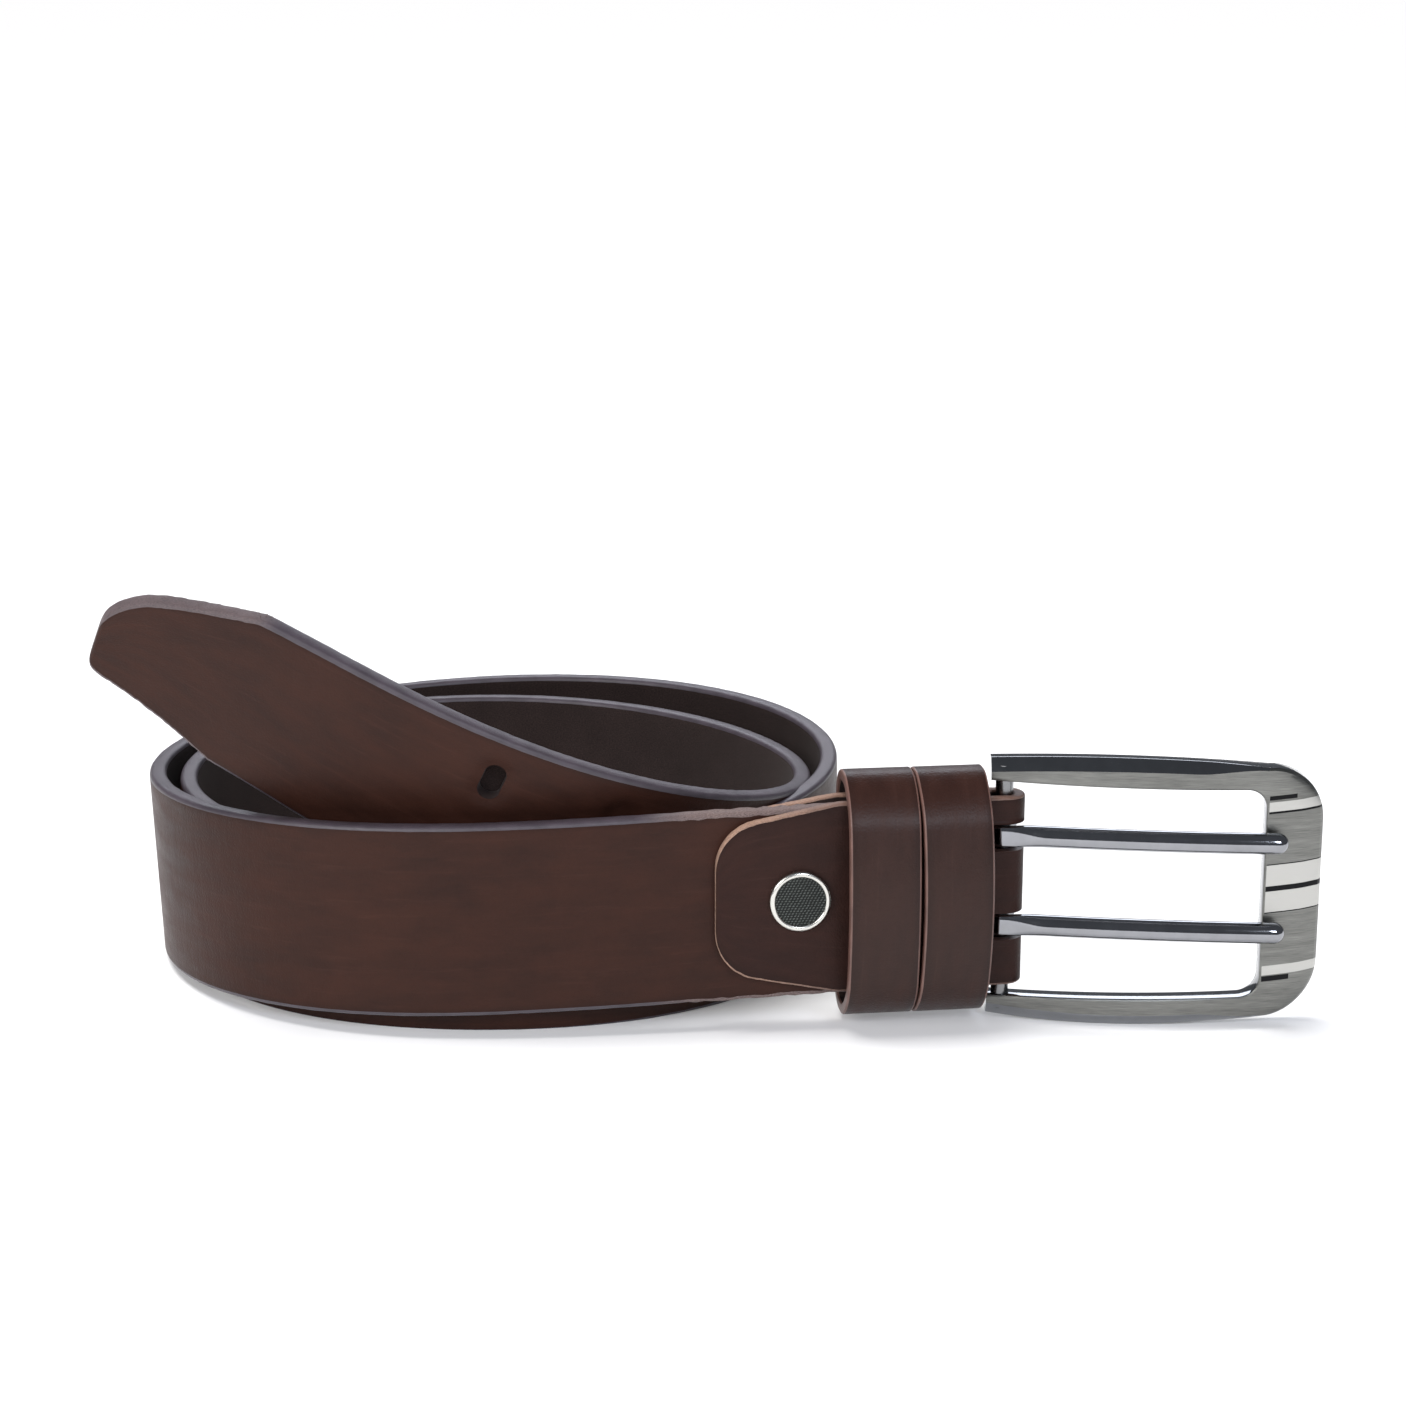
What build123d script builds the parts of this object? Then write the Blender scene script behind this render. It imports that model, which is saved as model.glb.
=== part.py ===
from build123d import *
import os
from math import cos, radians, sin, sqrt

# A rolled leather belt with a double-prong buckle. Millimetres, +Z up, resting on z = 0.
# The strap's straight end runs along +X to the buckle, its outer face looks along -Y, and the
# rest of the strap rolls up behind that face. Origin: bottom centre of the bounding box.

# ---- strap ----
STRAP_W = 38.0
STRAP_T = 3.5
STRAP_START = 6.0  # from the bar's axis to the strap's square end
STRAP_DROOP = 1.75  # degrees by which the straight end sinks towards the roll
STRAP_SETTLE = 0.3  # how far below the bar's height the strap's middle line starts
STRAP_LENGTH = 972.0
# (distance along the strap from its square end, bend there in degrees per 100 mm)
BENDS = [
    (0, 0), (58, 0), (86, 27), (120, 83), (172, 100), (231, 89.5), (290, 73.5), (349, 82.5),
    (408, 105.5), (462, 91), (516, 63.5), (569, 106.5), (623, 102.5), (677, 96), (730, 82.5),
    (773, 88), (816, 142), (859, 77), (913, 32), (972, -93.5),
]
# (distance along the strap, twist there in degrees per 100 mm): the tail twists as it rises
TWISTS = [
    (0, 0), (58, 0), (107, -6), (172, 5), (279, -6.5), (408, 4), (516, -4), (644, 2),
    (730, -3), (816, 38.5), (892, 19.5), (972, 8),
]
STEP = 3.24  # distance between the points of the strap's middle line
POINTS_PER_STATION = 4
TAIL_STATION = 58  # where the loft of the tail starts
WASTE = 300.0  # half the size of the block that trims the rolled edge level
TIP_LENGTH = 29.0  # over which both edges taper to the rounded tip
TIP_W = 19.0
TIP_TRIM = 5.0  # how far past the tip its tapering cut runs
HOLE_W = 4.2
HOLE_L = 7.7
HOLE_ROWS = 18.0
HOLE_PITCH = 25.4
HOLE_COUNT = 5
FIRST_HOLE = 81.0  # from the tip

# ---- buckle ----
BAR_Z = 27.0
BAR_R = 1.74
BAR_SEAT = 3.0  # depth of the bar's blind hole in each arm
FRAME_H = 54.0
FRAME_L = 61.5
FRAME_BACK = 2.7  # how far the arms reach past the bar
FRAME_T = 4.6
FRAME_BOW = 3.5  # rise of the frame's curve over its length
FRAME_SIDE_R = 260.0
FRAME_SIDE_APEX = 20.0
FRAME_CORNER_R = 11.0
WINDOW_H_BAR = 43.4
WINDOW_H_NOSE = 41.7
WINDOW_L = 50.0
WINDOW_R = 4.0
SWING = 8.0  # degrees by which the buckle rests forward of the strap's line
PRONG_R = 2.1
PRONG_EYE_R = 3.7
PRONG_SPREAD = 9.0  # each prong's height above or below the pair's middle
PRONG_RISE = 1.9  # the pair's middle above the bar's middle
PRONG_REACH = 54.0
PRONG_GAP = 0.45
PRONG_BOW = 0.9
RUN_FIT = 0.06

# ---- chape ----
CHAPE_T = 2.2
CHAPE_GAP = 3.6  # between the leaves
TAB_FRONT = 56.6
TAB_BACK = 59.5
TAB_FULL = 33.0  # distance from the bar where the tab reaches full width
TAB_END_W = 28.6
TAB_R = 9.5
SLOT_W = 5.4
SLOT_BACK = 7.5

# ---- keepers ----
KEEPER_W = 13.4
KEEPER_T = 2.2
KEEPER_H = 48.8
KEEPER_Z = 26.6
KEEPER_FRONT = 11.4  # outer front face to the strap's middle plane
KEEPER_BACK = 8.4  # outer back face to that plane, so the band clears the screw's head
KEEPER_R = 4.5
KEEPER_RIGHT = 4.2  # right keeper's edge to the bar
KEEPER_GAP = 0.5
SEAM = 0.4
STAPLE_WIRE = 0.7
STAPLE_L = 7.0

# ---- rivet ----
RIVET_X = 40.4
CAP_R = 6.0
CAP_T = 1.3
RIM = 1.1
CAP_FLOOR = 0.5
INLAY_T = 0.35
POST_R = 2.5
SCREW_R = 1.55
POST_BORE_R = 1.6
POST_FLOOR = 0.8
SCREW_HEAD_R = 4.5
SCREW_HEAD_T = 1.4
SCREW_HEAD_FILLET = 0.5
SCREW_REACH = 6.5
WASHER_R = 5.2
WASHER_T = 0.5
DRIVE_W = 1.0
DRIVE_DEPTH = 0.7


def between(table, s):
    """Value at distance s, straight-line between the table's rows."""
    for (s0, v0), (s1, v1) in zip(table, table[1:]):
        if s <= s1:
            return v0 + (v1 - v0) * (s - s0) / (s1 - s0)
    return table[-1][1]


def walk_strap():
    """The strap's middle line from its square end to its tip, as rows of (point, along, in, up).

    A flat strap only bends about its own width and twists about its own length, so each step
    turns the row by its bend, then by its twist.
    """
    droop = radians(STRAP_DROOP)
    along = Vector(-cos(droop), 0, -sin(droop))
    inward = Vector(0, 1, 0)
    up = Vector(-sin(droop), 0, cos(droop))
    point = Vector(-STRAP_START, 0, BAR_Z - STRAP_SETTLE)
    rows = [(point, along, inward, up)]
    for i in range(round(STRAP_LENGTH / STEP)):
        middle = (i + 0.5) * STEP
        bend = radians(between(BENDS, middle)) * STEP / 100
        twist = radians(between(TWISTS, middle)) * STEP / 100
        point = point + (along + inward * (bend / 2)) * STEP
        along, inward = along * cos(bend) + inward * sin(bend), inward * cos(bend) - along * sin(bend)
        inward, up = inward * cos(twist) + up * sin(twist), up * cos(twist) - inward * sin(twist)
        rows.append((point, along, inward, up))
    return rows


def half_width(distance):
    """Half the strap's width at a distance from its square end: both edges taper at the tip."""
    taper = min(1.0, (STRAP_LENGTH - distance) / TIP_LENGTH)
    return (TIP_W + (STRAP_W - TIP_W) * taper) / 2


def strap_corner(index, side, edge):
    """A corner of the strap's section: side is -1 outside, 1 inside; edge is -1 low, 1 high."""
    point, _, inward, up = line[index]
    return point + inward * (side * STRAP_T / 2) + up * (edge * half_width(index * STEP))


line = walk_strap()
corners = []
for side in (-1, 1):
    for edge in (-1, 1):
        corners += [strap_corner(i, side, edge) for i in range(len(line))]
swing = radians(SWING)
frame_dir = Vector(cos(swing), -sin(swing), 0)
frame_front = Vector(-sin(swing), -cos(swing), 0)
half_frame = FRAME_L / 2
slab_r = (half_frame**2 + FRAME_BOW**2) / (2 * FRAME_BOW)


def frame_front_at(reach):
    """How far behind the bar's plane the frame's front face is, at a distance from the bar."""
    return slab_r - FRAME_BOW - sqrt((slab_r + FRAME_T / 2) ** 2 - (reach - half_frame) ** 2)


prong_tip = PRONG_REACH - PRONG_R
prong_tip_back = frame_front_at(prong_tip) - PRONG_R - PRONG_GAP

# The bar stands where it puts the whole belt's box centred on the origin.
nose_reach = FRAME_L * cos(swing) + FRAME_T / 2 * sin(swing)
front_reach = (prong_tip_back - PRONG_R) * cos(swing) - prong_tip * sin(swing)
BAR_X = -(min(c.X for c in corners) + nose_reach) / 2
BAR_Y = -(max(c.Y for c in corners) + front_reach) / 2


def at(x, y, z):
    """A point given from the bar's foot, in the part's frame."""
    return (BAR_X + x, BAR_Y + y, z)


bar_face = Plane(origin=at(0, 0, BAR_Z), x_dir=frame_dir, z_dir=frame_front)
bar_plan = Plane(origin=at(0, 0, BAR_Z), x_dir=frame_dir, z_dir=(0, 0, 1))

# The strap is lofted through its sections, roll and tail, and trimmed level where it rests.
stations = line[::POINTS_PER_STATION]
shift = Vector(BAR_X, BAR_Y, 0)
tip_point, tip_along, tip_in, _ = line[-1]
tip_plane = Plane(origin=tip_point + shift, x_dir=-tip_along, z_dir=tip_in)
with BuildPart() as tail:
    for point, along, inward, _ in stations[TAIL_STATION:]:
        with BuildSketch(Plane(origin=point + shift, x_dir=inward, z_dir=along)):
            Rectangle(STRAP_T, STRAP_W)
    loft()
    # two rows of slots
    for i in range(HOLE_COUNT):
        point, along, inward, up = line[round((STRAP_LENGTH - FIRST_HOLE - i * HOLE_PITCH) / STEP)]
        for row in (-1, 1):
            start = point + shift + up * (row * HOLE_ROWS / 2) - inward * STRAP_T
            with BuildSketch(Plane(origin=start, x_dir=along, z_dir=inward)):
                SlotOverall(HOLE_L, HOLE_W, rotation=90)
            extrude(amount=2 * STRAP_T, mode=Mode.SUBTRACT)

with BuildPart() as strap:
    for point, along, inward, _ in stations[: TAIL_STATION + 1]:
        with BuildSketch(Plane(origin=point + shift, x_dir=inward, z_dir=along)):
            Rectangle(STRAP_T, STRAP_W)
    loft()
    add(tail.part)
    with BuildSketch(Plane.XY):
        Rectangle(2 * WASTE, 2 * WASTE)
    extrude(amount=-WASTE, mode=Mode.SUBTRACT)
    # the tip: both edges taper to a narrow end
    with BuildSketch(tip_plane):
        for side in (-1, 1):
            with BuildLine():
                Polyline(
                    (-TIP_TRIM, side * TIP_W / 2), (0, side * TIP_W / 2),
                    (TIP_LENGTH, side * STRAP_W / 2), (TIP_LENGTH, side * (STRAP_W / 2 + 1)),
                    (-TIP_TRIM, side * (STRAP_W / 2 + 1)), close=True
                )
            make_face()
    extrude(amount=2 * STRAP_T, both=True, mode=Mode.SUBTRACT)
    # the post's hole through the square end
    with BuildSketch(Plane(origin=at(-RIVET_X, 0, BAR_Z), x_dir=(1, 0, 0), z_dir=(0, -1, 0))):
        Circle(POST_R)
    extrude(amount=STRAP_T, both=True, mode=Mode.SUBTRACT)

# The chape wraps the bar: two leaves on the strap and a half-round fold, slotted for the prongs.
leaf_in = CHAPE_GAP / 2
leaf_out = leaf_in + CHAPE_T


def tab_outline(reach):
    """Points of a leaf from the bar to its rounded end."""
    half, end = STRAP_W / 2, TAB_END_W / 2
    return [(0, half), (-TAB_FULL, half), (-reach, end), (-reach, -end), (-TAB_FULL, -half), (0, -half)]


with BuildPart() as chape:
    for side, reach in ((-1, TAB_FRONT), (1, TAB_BACK)):
        with BuildSketch(Plane(origin=at(0, side * leaf_in, BAR_Z), x_dir=(1, 0, 0), z_dir=(0, -1, 0))) as tab:
            with BuildLine():
                Polyline(*tab_outline(reach), close=True)
            make_face()
            fillet(tab.vertices().group_by(Axis.X)[0], TAB_R)
        extrude(amount=-side * CHAPE_T)
    with BuildSketch(Plane(origin=at(0, 0, BAR_Z), x_dir=(1, 0, 0), z_dir=(0, 0, 1))):
        Circle(leaf_out)
        Circle(leaf_in, mode=Mode.SUBTRACT)
        with Locations((-leaf_out, 0)):
            Rectangle(2 * leaf_out, 3 * leaf_out, mode=Mode.SUBTRACT)
    extrude(amount=STRAP_W / 2, both=True)
    # slots for the two prongs, round the fold and onto both leaves
    slot_length = SLOT_BACK + leaf_out + 1
    for level in (PRONG_RISE + PRONG_SPREAD, PRONG_RISE - PRONG_SPREAD):
        with BuildSketch(Plane(origin=at(0, 0, BAR_Z + level), x_dir=(1, 0, 0), z_dir=(0, 0, 1))):
            with Locations((slot_length / 2 - SLOT_BACK, 0)):
                Rectangle(slot_length, 3 * leaf_out)
        extrude(amount=SLOT_W / 2, both=True, mode=Mode.SUBTRACT)
    with BuildSketch(Plane(origin=at(-RIVET_X, 0, BAR_Z), x_dir=(1, 0, 0), z_dir=(0, -1, 0))):
        Circle(POST_R)
    extrude(amount=2 * leaf_out, both=True, mode=Mode.SUBTRACT)

# The buckle's frame: an outline with bowed sides, cut from a slab that is curved in plan.
arm_z = WINDOW_H_BAR / 2
with BuildPart() as buckle_frame:
    with BuildSketch(bar_face) as outline:
        with Locations(((FRAME_L - FRAME_BACK) / 2, 0)):
            Rectangle(FRAME_L + FRAME_BACK, FRAME_H)
        for side in (-1, 1):
            with Locations((FRAME_SIDE_APEX, side * (FRAME_H / 2 - FRAME_SIDE_R))):
                Circle(FRAME_SIDE_R, mode=Mode.INTERSECT)
        fillet(outline.vertices().group_by(Axis.X)[-1], FRAME_CORNER_R)
        with BuildLine():
            Polyline(
                (-2 * FRAME_BACK, -WINDOW_H_BAR / 2), (WINDOW_L, -WINDOW_H_NOSE / 2),
                (WINDOW_L, WINDOW_H_NOSE / 2), (-2 * FRAME_BACK, WINDOW_H_BAR / 2), close=True
            )
        make_face(mode=Mode.SUBTRACT)
        inner = outline.vertices().filter_by(lambda v: abs(v.X - WINDOW_L) < 0.01)
        fillet(inner, WINDOW_R)
    extrude(amount=4 * FRAME_T, both=True)
    with BuildSketch(bar_plan.offset(-FRAME_H)):
        with Locations((half_frame, slab_r - FRAME_BOW)):
            Circle(slab_r + FRAME_T / 2)
            Circle(slab_r - FRAME_T / 2, mode=Mode.SUBTRACT)
    extrude(amount=2 * FRAME_H, mode=Mode.INTERSECT)
    # blind holes for the bar's ends
    with BuildSketch(bar_plan):
        Circle(BAR_R)
    extrude(amount=arm_z + BAR_SEAT, both=True, mode=Mode.SUBTRACT)

with BuildPart() as hinge_bar:
    with BuildSketch(bar_plan):
        Circle(BAR_R)
    extrude(amount=arm_z + BAR_SEAT, both=True)


def build_prong(level):
    """A prong at a height: an eye round the bar, and a bowed round shank that rests on the nose."""
    start = (0, PRONG_R - PRONG_EYE_R)
    end = (prong_tip, prong_tip_back)
    middle = (prong_tip / 2, (start[1] + end[1]) / 2 - PRONG_BOW)
    plan = Plane(origin=at(0, 0, BAR_Z + level), x_dir=frame_dir, z_dir=(0, 0, 1))
    with BuildPart() as prong:
        with BuildLine(plan):
            shank = ThreePointArc(start, middle, end)
        with BuildSketch(Plane(origin=shank @ 0, z_dir=shank % 0)):
            Circle(PRONG_R)
        sweep()
        with Locations(shank @ 1):
            Sphere(PRONG_R)
        with BuildSketch(plan):
            Circle(PRONG_EYE_R)
        extrude(amount=PRONG_R, both=True)
        with BuildSketch(plan):
            Circle(BAR_R + RUN_FIT)
        extrude(amount=2 * PRONG_R, both=True, mode=Mode.SUBTRACT)
    return prong


prong_upper = build_prong(PRONG_RISE + PRONG_SPREAD)
prong_lower = build_prong(PRONG_RISE - PRONG_SPREAD)


def keeper_plane(left_edge):
    """A plane across the strap at the left edge of a keeper."""
    middle = (KEEPER_BACK - KEEPER_FRONT) / 2
    return Plane(origin=at(left_edge, middle, KEEPER_Z), x_dir=(0, 1, 0), z_dir=(1, 0, 0))


def staple_plane(x):
    """A plane across the strap through a staple, centred on the keeper's outer back face."""
    return Plane(origin=at(x, KEEPER_BACK, KEEPER_Z), x_dir=(0, 1, 0), z_dir=(1, 0, 0))


def build_keeper(left_edge, staples):
    """A leather band round the belt, its ends butted behind and held by staples."""
    depth = KEEPER_FRONT + KEEPER_BACK
    with BuildPart() as keeper:
        with BuildSketch(keeper_plane(left_edge)):
            RectangleRounded(depth, KEEPER_H, KEEPER_R + KEEPER_T)
            RectangleRounded(depth - 2 * KEEPER_T, KEEPER_H - 2 * KEEPER_T, KEEPER_R, mode=Mode.SUBTRACT)
            with Locations((depth / 2, 0)):
                Rectangle(3 * KEEPER_T, SEAM, mode=Mode.SUBTRACT)
        extrude(amount=KEEPER_W)
        for x in staples:
            with BuildSketch(staple_plane(x)):
                with Locations((-KEEPER_T / 2, staple_leg_z), (-KEEPER_T / 2, -staple_leg_z)):
                    Rectangle(KEEPER_T, STAPLE_WIRE)
            extrude(amount=STAPLE_WIRE / 2, both=True, mode=Mode.SUBTRACT)
    return keeper


def build_staples(staples):
    """Wire staples across a keeper's seam: a crown on the back and two legs through the band."""
    with BuildPart() as wires:
        for x in staples:
            with BuildSketch(staple_plane(x)):
                with Locations((STAPLE_WIRE / 2, 0)):
                    Rectangle(STAPLE_WIRE, STAPLE_L)
                with Locations((-KEEPER_T / 2, staple_leg_z), (-KEEPER_T / 2, -staple_leg_z)):
                    Rectangle(KEEPER_T, STAPLE_WIRE)
            extrude(amount=STAPLE_WIRE / 2, both=True)
    return wires


staple_leg_z = (STAPLE_L - STAPLE_WIRE) / 2
right_edge = -KEEPER_RIGHT - KEEPER_W
left_edge = right_edge - KEEPER_GAP - KEEPER_W
right_staples = (right_edge + KEEPER_W / 4, right_edge + 3 * KEEPER_W / 4)
left_staples = (left_edge + KEEPER_W / 4, left_edge + 3 * KEEPER_W / 4)
keeper_right = build_keeper(right_edge, right_staples)
keeper_left = build_keeper(left_edge, left_staples)
keeper_right_staples = build_staples(right_staples)
keeper_left_staples = build_staples(left_staples)

# The fastener through the tab: a capped post in front, a slotted screw and a washer behind.
front_plane = Plane(origin=at(-RIVET_X, -leaf_out, BAR_Z), x_dir=(1, 0, 0), z_dir=(0, -1, 0))
back_plane = Plane(origin=at(-RIVET_X, leaf_out, BAR_Z), x_dir=(1, 0, 0), z_dir=(0, 1, 0))
with BuildPart() as rivet_post:
    with BuildSketch(front_plane):
        Circle(CAP_R)
    extrude(amount=CAP_T)
    with BuildSketch(front_plane.offset(CAP_FLOOR)):
        Circle(CAP_R - RIM)
    extrude(amount=CAP_T, mode=Mode.SUBTRACT)
    with BuildSketch(front_plane):
        Circle(POST_R)
    extrude(amount=-2 * leaf_out)
    with BuildSketch(back_plane):
        Circle(POST_BORE_R)
    extrude(amount=-(2 * leaf_out - POST_FLOOR), mode=Mode.SUBTRACT)

with BuildPart() as rivet_inlay:
    with BuildSketch(front_plane.offset(CAP_FLOOR)):
        Circle(CAP_R - RIM)
    extrude(amount=INLAY_T)

with BuildPart() as rivet_washer:
    with BuildSketch(back_plane):
        Circle(WASHER_R)
        Circle(POST_BORE_R, mode=Mode.SUBTRACT)
    extrude(amount=WASHER_T)

with BuildPart() as rivet_screw:
    with BuildSketch(back_plane.offset(WASHER_T)):
        Circle(SCREW_HEAD_R)
    extrude(amount=SCREW_HEAD_T)
    fillet(rivet_screw.faces().sort_by(Axis.Y)[-1].edges(), SCREW_HEAD_FILLET)
    with BuildSketch(back_plane.offset(WASHER_T)):
        Circle(SCREW_R)
    extrude(amount=-SCREW_REACH)
    with BuildSketch(back_plane.offset(WASHER_T + SCREW_HEAD_T)):
        Rectangle(2 * SCREW_HEAD_R, DRIVE_W)
    extrude(amount=-DRIVE_DEPTH, mode=Mode.SUBTRACT)

os.makedirs("parts", exist_ok=True)
strap.part.label = "strap"
export_step(strap.part, "parts/strap.step")
chape.part.label = "chape"
export_step(chape.part, "parts/chape.step")
buckle_frame.part.label = "buckle_frame"
export_step(buckle_frame.part, "parts/buckle_frame.step")
hinge_bar.part.label = "hinge_bar"
export_step(hinge_bar.part, "parts/hinge_bar.step")
prong_upper.part.label = "prong_upper"
export_step(prong_upper.part, "parts/prong_upper.step")
prong_lower.part.label = "prong_lower"
export_step(prong_lower.part, "parts/prong_lower.step")
keeper_right.part.label = "keeper_right"
export_step(keeper_right.part, "parts/keeper_right.step")
keeper_left.part.label = "keeper_left"
export_step(keeper_left.part, "parts/keeper_left.step")
keeper_right_staples.part.label = "keeper_right_staples"
export_step(keeper_right_staples.part, "parts/keeper_right_staples.step")
keeper_left_staples.part.label = "keeper_left_staples"
export_step(keeper_left_staples.part, "parts/keeper_left_staples.step")
rivet_post.part.label = "rivet_post"
export_step(rivet_post.part, "parts/rivet_post.step")
rivet_inlay.part.label = "rivet_inlay"
export_step(rivet_inlay.part, "parts/rivet_inlay.step")
rivet_washer.part.label = "rivet_washer"
export_step(rivet_washer.part, "parts/rivet_washer.step")
rivet_screw.part.label = "rivet_screw"
export_step(rivet_screw.part, "parts/rivet_screw.step")
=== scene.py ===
from math import cos, hypot, pi, radians, sin, sqrt

import bmesh
import bpy
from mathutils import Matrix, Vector, noise


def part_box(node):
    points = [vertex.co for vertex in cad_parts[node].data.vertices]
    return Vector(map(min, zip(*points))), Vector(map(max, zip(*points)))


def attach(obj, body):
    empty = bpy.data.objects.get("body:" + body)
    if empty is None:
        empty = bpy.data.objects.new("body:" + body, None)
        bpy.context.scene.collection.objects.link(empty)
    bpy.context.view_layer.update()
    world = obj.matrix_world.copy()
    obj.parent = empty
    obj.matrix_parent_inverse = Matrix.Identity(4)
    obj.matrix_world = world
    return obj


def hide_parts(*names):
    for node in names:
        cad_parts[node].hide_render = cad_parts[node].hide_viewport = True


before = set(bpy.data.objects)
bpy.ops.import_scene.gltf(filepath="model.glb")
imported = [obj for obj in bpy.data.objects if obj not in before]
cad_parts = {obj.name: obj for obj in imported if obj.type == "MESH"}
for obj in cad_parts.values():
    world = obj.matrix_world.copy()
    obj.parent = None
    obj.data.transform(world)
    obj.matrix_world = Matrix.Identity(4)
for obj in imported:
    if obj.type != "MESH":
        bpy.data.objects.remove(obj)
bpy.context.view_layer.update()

# Lengths below are in millimetres from the foot of the buckle's bar.
# The meshes hold them as metres in the CAD frame.
MM = 0.001

# ---- the strap's line ----
STRAP_W = 38.0
STRAP_T = 3.5
STRAP_START = 6.0
STRAP_DROOP = 1.75
STRAP_SETTLE = 0.3
STRAP_LENGTH = 972.0
# (distance along the strap from its square end, bend there in degrees per 100 mm)
# With these the strap overlaps itself: the tail at 813 to 860 mm runs into the turn at 430 to 480 mm.
BENDS = [
    (0, 0), (58, 0), (86, 27), (120, 83), (172, 100), (231, 89.5), (290, 73.5), (349, 82.5),
    (408, 105.5), (462, 91), (516, 63.5), (569, 106.5), (623, 102.5), (677, 96), (730, 82.5),
    (773, 88), (816, 142), (859, 77), (913, 32), (972, -93.5),
]
# (distance along the strap, twist there in degrees per 100 mm)
TWISTS = [
    (0, 0), (58, 0), (107, -6), (172, 5), (279, -6.5), (408, 4), (516, -4), (644, 2),
    (730, -3), (816, 38.5), (892, 19.5), (972, 8),
]
STEP = 0.81  # of the walk along the strap
ROLL_CELL = 1.62  # length of the mesh's cells on the roll
TAIL_FINE = 230.0  # length of the tail that has the finer cells
TIP_LENGTH = 29.0
TIP_W = 19.0
STRAP_EDGE_R = 0.9
STRAP_END_R = 0.8
FACE_CELLS = 36
HOLE_W = 4.2
HOLE_L = 7.7
HOLE_ROWS = 18.0
HOLE_PITCH = 25.4
HOLE_COUNT = 5
FIRST_HOLE = 81.0
HOLE_STEP = 3.24  # the slots stand on the CAD's own stations
DENT_DEPTH = 0.55  # how far the leather sinks beside a slot
DENT_REACH = 1.5
DENT_BASE = 2.718  # the dent fades as a bell curve
TIP_TOP_R = 10.0
TIP_LOW_R = 3.5
TIP_TOP_LOSS = 7.5  # how far the tip's corners are drawn in
TIP_LOW_LOSS = 2.5
SLOT_POINTS = 32

# ---- the buckle ----
FRAME_H = 54.0
FRAME_L = 61.5
FRAME_BACK = 2.7
FRAME_T = 4.6
FRAME_BOW = 3.5
FRAME_SIDE_R = 260.0
FRAME_SIDE_APEX = 20.0
FRAME_CORNER_R = 11.0
WINDOW_H_BAR = 43.4
WINDOW_H_NOSE = 41.7
WINDOW_L = 50.0
WINDOW_R = 4.0
SWING = 8.0
PRONG_R = 2.1
PRONG_EYE_R = 3.7
PRONG_SPREAD = 9.0
PRONG_RISE = 1.9
PRONG_REACH = 54.0
PRONG_GAP = 0.45
PRONG_BOW = 0.9
BAR_R = 1.74

# ---- chape, keepers, rivet ----
CHAPE_T = 2.2
CHAPE_GAP = 3.6
TAB_FRONT = 56.6
TAB_BACK = 59.5
TAB_FULL = 33.0
TAB_END_W = 28.6
TAB_R = 9.5
SLOT_W = 5.4
SLOT_BACK = 7.5
KEEPER_W = 13.4
KEEPER_T = 2.2
KEEPER_H = 48.8
KEEPER_Z = 26.6
KEEPER_FRONT = 11.4
KEEPER_BACK = 8.4
KEEPER_RIGHT = 4.2
KEEPER_GAP = 0.5
KEEPER_BULGE = 4.2
RIVET_X = 40.4
POST_R = 2.5
POST_BORE_R = 1.6
POST_FLOOR = 0.8

bar_low, bar_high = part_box("hinge_bar")
BAR_Z = (bar_low.z + bar_high.z) / 2 / MM
bar_foot = Vector(((bar_low.x + bar_high.x) / 2, (bar_low.y + bar_high.y) / 2, 0))
UP = Vector((0, 0, 1))
OUTER, EDGE, INNER = 0, 1, 2


def smooth(value, low, high):
    """0 below low, 1 above high, and a smooth rise between."""
    t = min(1.0, max(0.0, (value - low) / (high - low)))
    return t * t * (3 - 2 * t)


def between(table, s):
    """Value at distance s, straight-line between the table's rows."""
    for (s0, v0), (s1, v1) in zip(table, table[1:]):
        if s <= s1:
            return v0 + (v1 - v0) * (s - s0) / (s1 - s0)
    return table[-1][1]


def wobble(point, scale, seed=0.0):
    """Smooth noise from -1 to 1 at a point."""
    return noise.noise(point * scale + Vector((seed, -seed, 2 * seed)))


# ---------------------------------------------------------------- meshes


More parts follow.
